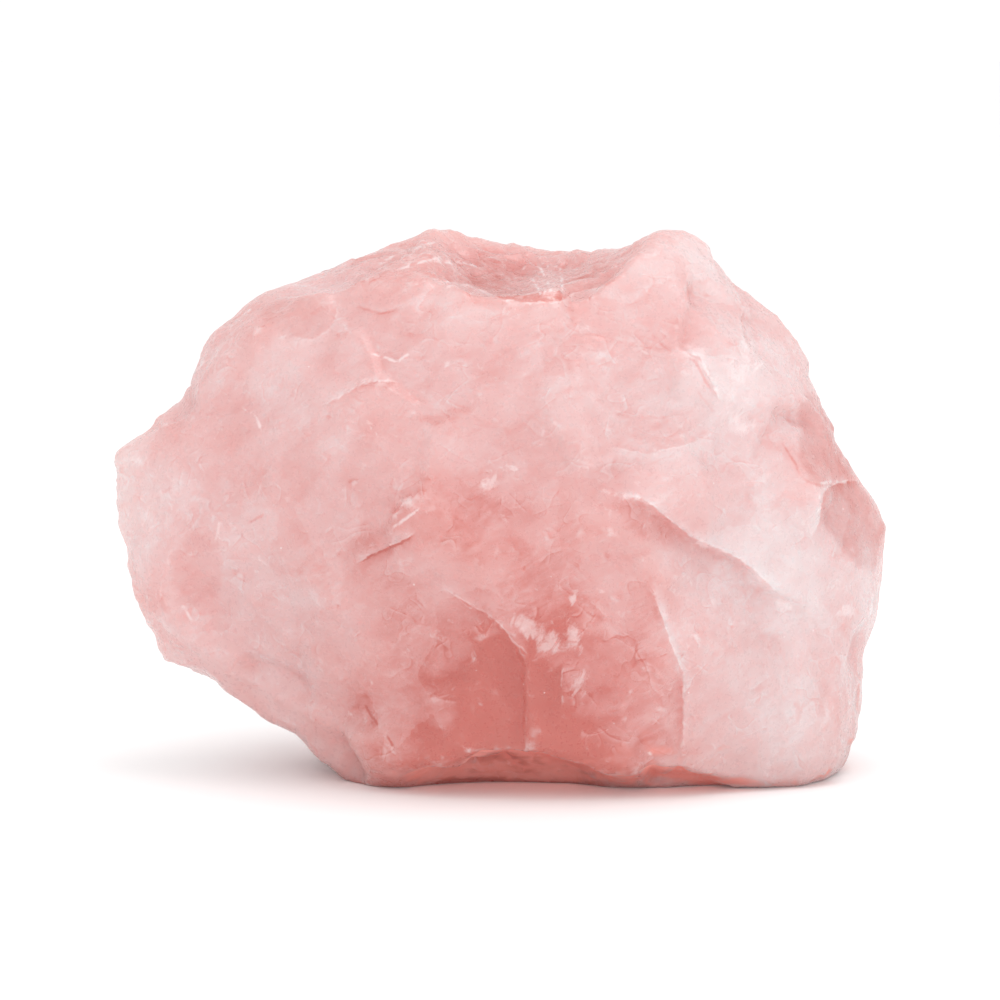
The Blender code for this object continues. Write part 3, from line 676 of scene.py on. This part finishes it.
class Tree:
    """Short ways to add nodes to a material."""

    def __init__(self, material):
        material.use_nodes = True
        self.nodes = material.node_tree.nodes
        self.links = material.node_tree.links
        self.shader = self.nodes["Principled BSDF"]

    def feed(self, socket, value):
        if isinstance(value, bpy.types.NodeSocket):
            self.links.new(value, socket)
        else:
            socket.default_value = value

    def math(self, operation, a, b=0.0, c=0.0):
        node = self.nodes.new("ShaderNodeMath")
        node.operation = operation
        for socket, value in zip(node.inputs, (a, b, c)):
            self.feed(socket, value)
        return node.outputs[0]

    def subtract(self, a, b):
        return self.math("SUBTRACT", a, b)

    def times(self, a, b):
        return self.math("MULTIPLY", a, b)

    def add_share(self, total, value, amount):
        """The total plus the value times the amount."""
        return self.math("MULTIPLY_ADD", value, amount, total)

    def scale(self, color, amount):
        node = self.nodes.new("ShaderNodeVectorMath")
        node.operation = "SCALE"
        self.feed(node.inputs[0], color)
        self.feed(node.inputs["Scale"], amount)
        return node.outputs[0]

    def ramp(self, value, low, high, to_low=0.0, to_high=1.0):
        node = self.nodes.new("ShaderNodeMapRange")
        node.interpolation_type = "SMOOTHSTEP"
        for name, item in (("Value", value), ("From Min", low), ("From Max", high),
                           ("To Min", to_low), ("To Max", to_high)):
            self.feed(node.inputs[name], item)
        return node.outputs[0]

    def mix(self, share, a, b):
        node = self.nodes.new("ShaderNodeMix")
        node.data_type = "RGBA"
        self.feed(node.inputs[0], share)
        self.feed(node.inputs[6], a)
        self.feed(node.inputs[7], b)
        return node.outputs[2]

    def attribute(self, name):
        node = self.nodes.new("ShaderNodeAttribute")
        node.attribute_name = name
        return node.outputs["Fac"]

    def coordinates(self, stretch=(1.0, 1.0, 1.0), turn=0.0):
        """Places in the stone in millimetres, turned about y and shortened by the stretch."""
        place = self.nodes.new("ShaderNodeTexCoord")
        mapping = self.nodes.new("ShaderNodeMapping")
        mapping.vector_type = "TEXTURE"
        mapping.inputs["Scale"].default_value = [s * MM for s in stretch]
        mapping.inputs["Rotation"].default_value = (0.0, math.radians(turn), 0.0)
        self.links.new(place.outputs["Object"], mapping.inputs["Vector"])
        return mapping.outputs[0]

    def noise(self, vector, length, detail=3.0, roughness=0.5, distortion=0.0):
        node = self.nodes.new("ShaderNodeTexNoise")
        self.feed(node.inputs["Vector"], vector)
        node.inputs["Scale"].default_value = 1.0 / length
        node.inputs["Detail"].default_value = detail
        node.inputs["Roughness"].default_value = roughness
        node.inputs["Distortion"].default_value = distortion
        return node.outputs["Fac"]

    def planes(self, vector, length, bend_length=3.0, bend=3.0):
        """A random value for each cell, with wavy cell borders."""
        drift = self.nodes.new("ShaderNodeTexNoise")
        drift.inputs["Scale"].default_value = 1.0 / bend_length
        self.feed(drift.inputs["Vector"], vector)
        bent = self.nodes.new("ShaderNodeVectorMath")
        bent.operation = "MULTIPLY_ADD"
        self.feed(bent.inputs[0], drift.outputs["Color"])
        bent.inputs[1].default_value = (bend, bend, bend)
        self.feed(bent.inputs[2], vector)
        cells = self.nodes.new("ShaderNodeTexVoronoi")
        cells.inputs["Scale"].default_value = 1.0 / length
        self.links.new(bent.outputs[0], cells.inputs["Vector"])
        parts = self.nodes.new("ShaderNodeSeparateColor")
        self.links.new(cells.outputs["Color"], parts.inputs[0])
        return parts.outputs[0]

    def dots(self, vector, spacing):
        """1 in a small round dot at the middle of each cell."""
        cells = self.nodes.new("ShaderNodeTexVoronoi")
        cells.inputs["Scale"].default_value = 1.0 / spacing
        self.links.new(vector, cells.inputs["Vector"])
        return self.ramp(cells.outputs["Distance"], 0.07, 0.12, 1.0, 0.0)

    def one_side(self, value, rise, start, end):
        """1 just past 0 on one side of a value, falling to 0 from start to end."""
        return self.times(self.ramp(value, 0.0, rise), self.ramp(value, start, end, 1.0, 0.0))

    def thin_line(self, name, jitter, width):
        """1 along the marked lines of this name, falling to 0 beside them."""
        offset = self.math("ABSOLUTE", self.math("ADD", self.attribute(name + "_offset"), jitter))
        line = self.ramp(offset, width * 0.3, width * 2.0, 1.0, 0.0)
        return self.times(line, self.ramp(self.attribute(name + "_near"), 0.1, 0.8))

    def embossed_line(self, vector, length):
        """Painted highlight on one side and painted shade on the other of a thin curved line where the
        noise crosses its middle.
        """
        value = self.subtract(self.noise(vector, length, 1.0, 0.4, 0.25), 0.5)
        fine = 0.11 / length
        shaded = self.one_side(value, fine * 0.3, 0.0, fine * 1.6)
        lit = self.one_side(value, -fine * 0.3, 0.0, -fine * 2.4)
        return lit, shaded

    def colour_ramp(self, value, colours):
        ramp = self.nodes.new("ShaderNodeValToRGB")
        stops = ramp.color_ramp.elements
        while len(stops) < len(colours):
            stops.new(0.5)
        for stop, (share, colour) in zip(stops, colours):
            stop.position = share
            stop.color = (*colour, 1.0)
        self.links.new(value, ramp.inputs["Fac"])
        return ramp.outputs["Color"]


# Colours of the stone from the palest, at depth 0, to the deepest
COLOUR_RAMP = [
    (0.00, (0.627, 0.550, 0.552)),
    (0.25, (0.603, 0.474, 0.474)),
    (0.50, (0.585, 0.368, 0.361)),
    (0.72, (0.560, 0.289, 0.276)),
    (0.88, (0.510, 0.201, 0.184)),
    (1.00, (0.450, 0.124, 0.104)),
]
FROST_AND_HIGHLIGHT_WHITE = (0.72, 0.65, 0.65, 1.0)
NOTCH_SHADE = (0.50, 0.20, 0.18, 1.0)
UNDERSIDE_GLOW = (0.96, 0.34, 0.28, 1.0)

# How strongly the white, as frost and as painted highlight, and the painted shade in a notch show on each
# kind of mark
PATCH_FROST_AND_HIGHLIGHT, EDGE_HIGHLIGHT, THREAD_FROST = 0.42, 0.42, 0.58
FLECK_FROST, GLINT_SPECK, ARRIS_HIGHLIGHT = 0.34, 0.60, 0.30
NOTCH_SHADE_SHARE = 0.25
UNDERSIDE_GLOW_SHARE = 0.6

# How much each kind of mark moves the depth of colour
CLOUD_DEPTH, VEIL_DEPTH, PLANE_DEPTH = 0.42, 0.40, 0.11
GRAIN_DEPTH, STREAK_DEPTH, RIM_TINT_DEPTH = 0.12, 0.34, 0.10
LIT_SIDE_DEPTH, SHADED_SIDE_DEPTH, CUT_DEPTH = -0.20, 0.16, 0.30

QUARTZ_IOR = 1.544
SCATTER_WEIGHT = 0.50
SCATTER_RADIUS = (1.0, 0.50, 0.45)
SCATTER_SCALE = 0.050
ROUGHNESS = (0.22, 0.42)
UNDERSIDE_ROUGHNESS = 0.5
BUMP_STRENGTH, BUMP_HEIGHT = 0.30, 0.25


def inner_depth(tree, depth, here, slant, crossing, grain):
    """The depth of colour with clouds, veils, small planes and streaks inside the stone, a painted rim
    tint, and small breaks drawn with painted highlight and shade.
    """
    cloud = tree.noise(here, 12.0, 3.0, 0.5, 0.6)
    veil = tree.noise(slant, 4.2, 4.0, 0.55, 0.9)
    for value, amount in ((cloud, CLOUD_DEPTH), (veil, VEIL_DEPTH), (tree.planes(here, 8.0), PLANE_DEPTH),
                          (grain, GRAIN_DEPTH)):
        depth = tree.add_share(depth, tree.subtract(value, 0.5), amount)
    streaks = tree.noise(tree.coordinates((6.0, 1.0, 1.0), -30.0), 0.8, 3.0, 0.6, 0.3)
    streaky = tree.ramp(tree.noise(here, 10.0, 2.0, 0.5, 0.3), 0.42, 0.62, 0.0, STREAK_DEPTH)
    depth = tree.add_share(depth, tree.subtract(streaks, 0.5), streaky)
    # Painted rim tint: deeper colour on convex rims, standing in for light bending at the thin edges
    depth = tree.add_share(depth, tree.ramp(tree.attribute("rim"), 0.1, 0.9), RIM_TINT_DEPTH)

    groups = tree.ramp(tree.noise(here, 4.0, 3.0, 0.6, 0.4), 0.50, 0.60)
    for field, length, strength in ((slant, 4.0, 0.12), (crossing, 6.0, 0.10), (here, 3.0, 0.07)):
        lit, shaded = tree.embossed_line(field, length)
        depth = tree.add_share(depth, tree.times(shaded, groups), strength)
        depth = tree.add_share(depth, tree.times(lit, groups), -strength)
    return depth


def edge_light_and_shade(tree, depth, offset, near, jitter):
    """The depth of colour with the drawn edges' painted highlight and painted shadow sides, and the drawn
    cuts, partly painted shade in grooves.
    """
    lit_side = tree.one_side(offset, 0.12, 0.1, 2.0)
    shaded_side = tree.one_side(offset, -0.12, -0.1, -1.5)
    depth = tree.add_share(depth, tree.times(lit_side, near), LIT_SIDE_DEPTH)
    depth = tree.add_share(depth, tree.times(shaded_side, near), SHADED_SIDE_DEPTH)
    return tree.add_share(depth, tree.thin_line("cut", jitter, 0.15), CUT_DEPTH)


def frost_highlight_and_shade(tree, color, here, crossing, offset, near, jitter):
    """The colour with white flecks, painted highlights on the drawn edges, threads, frost and painted
    highlight patches, painted highlights on the arrises and painted shade in the notches.
    """
    patchy = tree.ramp(tree.noise(here, 7.0, 2.0, 0.5), 0.48, 0.64)
    flecks = tree.times(tree.ramp(tree.noise(crossing, 1.5, 5.0, 0.6), 0.60, 0.70), patchy)
    color = tree.mix(tree.times(flecks, FLECK_FROST), color, FROST_AND_HIGHLIGHT_WHITE)

    broken = tree.ramp(tree.noise(here, 1.7, 2.0, 0.5), 0.42, 0.56)
    # The drawn edges' bright core is a painted highlight
    edge_highlight = tree.ramp(tree.math("ABSOLUTE", tree.subtract(offset, 0.07)), 0.05, 0.20, 1.0, 0.0)
    edge_highlight = tree.times(tree.times(edge_highlight, near), broken)
    color = tree.mix(tree.times(edge_highlight, EDGE_HIGHLIGHT), color, FROST_AND_HIGHLIGHT_WHITE)
    thread = tree.times(tree.thin_line("thread", jitter, 0.16), broken)
    color = tree.mix(tree.times(thread, THREAD_FROST), color, FROST_AND_HIGHLIGHT_WHITE)

    # White patches: frost, and painted highlights at the listed spots
    frost_and_highlight = tree.attribute("frost_and_highlight")
    ragged = tree.noise(tree.coordinates((1.0, 1.0, 2.6), 28.0), 1.1, 6.0, 0.70, 0.8)
    patch = tree.add_share(frost_and_highlight, tree.subtract(ragged, 0.5), 2.2)
    patch = tree.times(tree.ramp(patch, 0.22, 0.85), tree.ramp(frost_and_highlight, 0.0, 0.15))
    color = tree.mix(tree.times(patch, PATCH_FROST_AND_HIGHLIGHT), color, FROST_AND_HIGHLIGHT_WHITE)

    arris = tree.attribute("arris")
    # Painted highlight on convex arrises and painted shade in concave notches
    color = tree.mix(tree.times(tree.ramp(arris, 0.35, 1.0, 0.0, ARRIS_HIGHLIGHT), broken), color, FROST_AND_HIGHLIGHT_WHITE)
    return tree.mix(tree.ramp(arris, -0.35, -1.0, 0.0, NOTCH_SHADE_SHARE), color, NOTCH_SHADE)


def glint_specks(tree, color, here):
    """The colour with tiny white specks, painted glints."""
    chosen = tree.math("GREATER_THAN", tree.noise(here, 2.2, 1.0), 0.68)
    glint = tree.times(tree.dots(here, 1.5), chosen)
    return tree.mix(tree.times(glint, GLINT_SPECK), color, FROST_AND_HIGHLIGHT_WHITE)


def stone_body(tree, grain, slant):
    """Scattering inside the stone, its gloss and the fine bump on its breaks."""
    shader = tree.shader
    shader.inputs["IOR"].default_value = QUARTZ_IOR
    shader.subsurface_method = "RANDOM_WALK"
    shader.inputs["Subsurface Weight"].default_value = SCATTER_WEIGHT
    shader.inputs["Subsurface Radius"].default_value = SCATTER_RADIUS
    shader.inputs["Subsurface Scale"].default_value = SCATTER_SCALE
    roughness = tree.ramp(grain, 0.3, 0.7, *ROUGHNESS)
    roughness = tree.add_share(roughness, tree.attribute("below"), UNDERSIDE_ROUGHNESS)
    tree.links.new(roughness, shader.inputs["Roughness"])

    bump = tree.nodes.new("ShaderNodeBump")
    bump.inputs["Strength"].default_value = BUMP_STRENGTH
    bump.inputs["Distance"].default_value = BUMP_HEIGHT * MM
    tree.links.new(tree.noise(slant, 1.8, 2.0, 0.5, 0.6), bump.inputs["Height"])
    tree.links.new(bump.outputs[0], shader.inputs["Normal"])


def rose_quartz():
    material = bpy.data.materials.new("rose_quartz_surface")
    tree = Tree(material)
    here = tree.coordinates()
    slant = tree.coordinates((1.7, 1.0, 1.0), -24.0)
    crossing = tree.coordinates((1.6, 1.0, 1.0), 32.0)
    grain = tree.noise(here, 0.8, 4.0, 0.65)

    wide_jitter = tree.math("MULTIPLY_ADD", tree.noise(here, 1.3, 3.0, 0.6), 0.8, -0.4)
    jitter = tree.times(wide_jitter, 0.6)
    offset = tree.math("ADD", tree.attribute("edge_offset"), wide_jitter)
    near = tree.times(tree.attribute("edge_near"), tree.ramp(grain, 0.25, 0.60, 0.6, 1.1))

    depth = inner_depth(tree, tree.attribute("depth"), here, slant, crossing, grain)
    depth = edge_light_and_shade(tree, depth, offset, near, jitter)
    color = frost_highlight_and_shade(tree, tree.colour_ramp(depth, COLOUR_RAMP), here, crossing, offset, near, jitter)
    # Painted shade darkens the colour here
    color = tree.scale(color, tree.subtract(1.0, tree.attribute("painted_shade")))
    # A painted glow on the underside, standing in for light passing through the stone
    color = tree.mix(tree.times(tree.attribute("below"), UNDERSIDE_GLOW_SHARE), color, UNDERSIDE_GLOW)
    color = glint_specks(tree, color, here)
    tree.links.new(color, tree.shader.inputs["Base Color"])
    stone_body(tree, grain, slant)
    return material


# Stage

WORLD_STRENGTH = 1.06
FLOOR_SIZE = 6.0
FLOOR_WHITE = (0.95, 0.95, 0.95, 1.0)
FLOOR_ROUGHNESS, FLOOR_GLOSS = 0.6, 0.2
AIM = Vector((0.0, 0.0, 0.03))
# Soft round lights: (name, place, size, power, whether it shows in the stone's gloss)
LIGHTS = [
    ("key", (0.15, -0.05, 0.85), 0.5, 1.6, True),
    ("side", (0.75, -0.45, 0.35), 0.5, 0.4, True),
    ("low front", (0.05, -0.80, 0.08), 0.5, 2.6, False),
]


def white_floor():
    bpy.ops.mesh.primitive_plane_add(size=FLOOR_SIZE)
    floor = bpy.context.object
    floor.name = "floor"
    material = bpy.data.materials.new("floor_white")
    material.use_nodes = True
    shader = material.node_tree.nodes["Principled BSDF"]
    shader.inputs["Base Color"].default_value = FLOOR_WHITE
    shader.inputs["Roughness"].default_value = FLOOR_ROUGHNESS
    shader.inputs["Specular IOR Level"].default_value = FLOOR_GLOSS
    floor.data.materials.append(material)


def soft_light(name, place, size, power, glossy):
    light = bpy.data.lights.new(name, "AREA")
    light.shape = "DISK"
    light.size = size
    light.energy = power
    obj = bpy.data.objects.new(name, light)
    bpy.context.scene.collection.objects.link(obj)
    obj.location = place
    obj.rotation_euler = (Vector(place) - AIM).to_track_quat("Z", "Y").to_euler()
    obj.visible_camera = False
    obj.visible_glossy = glossy


def studio():
    world = bpy.data.worlds.new("studio")
    bpy.context.scene.world = world
    world.use_nodes = True
    background = world.node_tree.nodes["Background"]
    background.inputs["Color"].default_value = (1.0, 1.0, 1.0, 1.0)
    background.inputs["Strength"].default_value = WORLD_STRENGTH
    for light in LIGHTS:
        soft_light(*light)
    bpy.context.scene.view_settings.view_transform = "Standard"


def camera():
    data = bpy.data.cameras.new("camera")
    data.lens = LENS
    data.sensor_width = SENSOR
    obj = bpy.data.objects.new("camera", data)
    bpy.context.scene.collection.objects.link(obj)
    obj.location = (EYE - ORIGIN) * MM
    obj.rotation_euler = (math.radians(90.0) - EYE_TILT, 0.0, 0.0)
    bpy.context.scene.camera = obj


def main():
    camera()
    studio()
    white_floor()
    chunk = fine_skin(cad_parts["rose_quartz_chunk"])
    break_up(chunk)
    smooth_out(chunk, 1)
    fewer_triangles(chunk)
    smooth_out(chunk, 1)
    put_points(chunk, Skin(chunk.data).points)
    mark_zones(chunk)
    chunk.data.polygons.foreach_set("use_smooth", [True] * len(chunk.data.polygons))
    chunk.data.materials.clear()
    chunk.data.materials.append(rose_quartz())
    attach(chunk, "root")
    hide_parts("rose_quartz_chunk")


main()
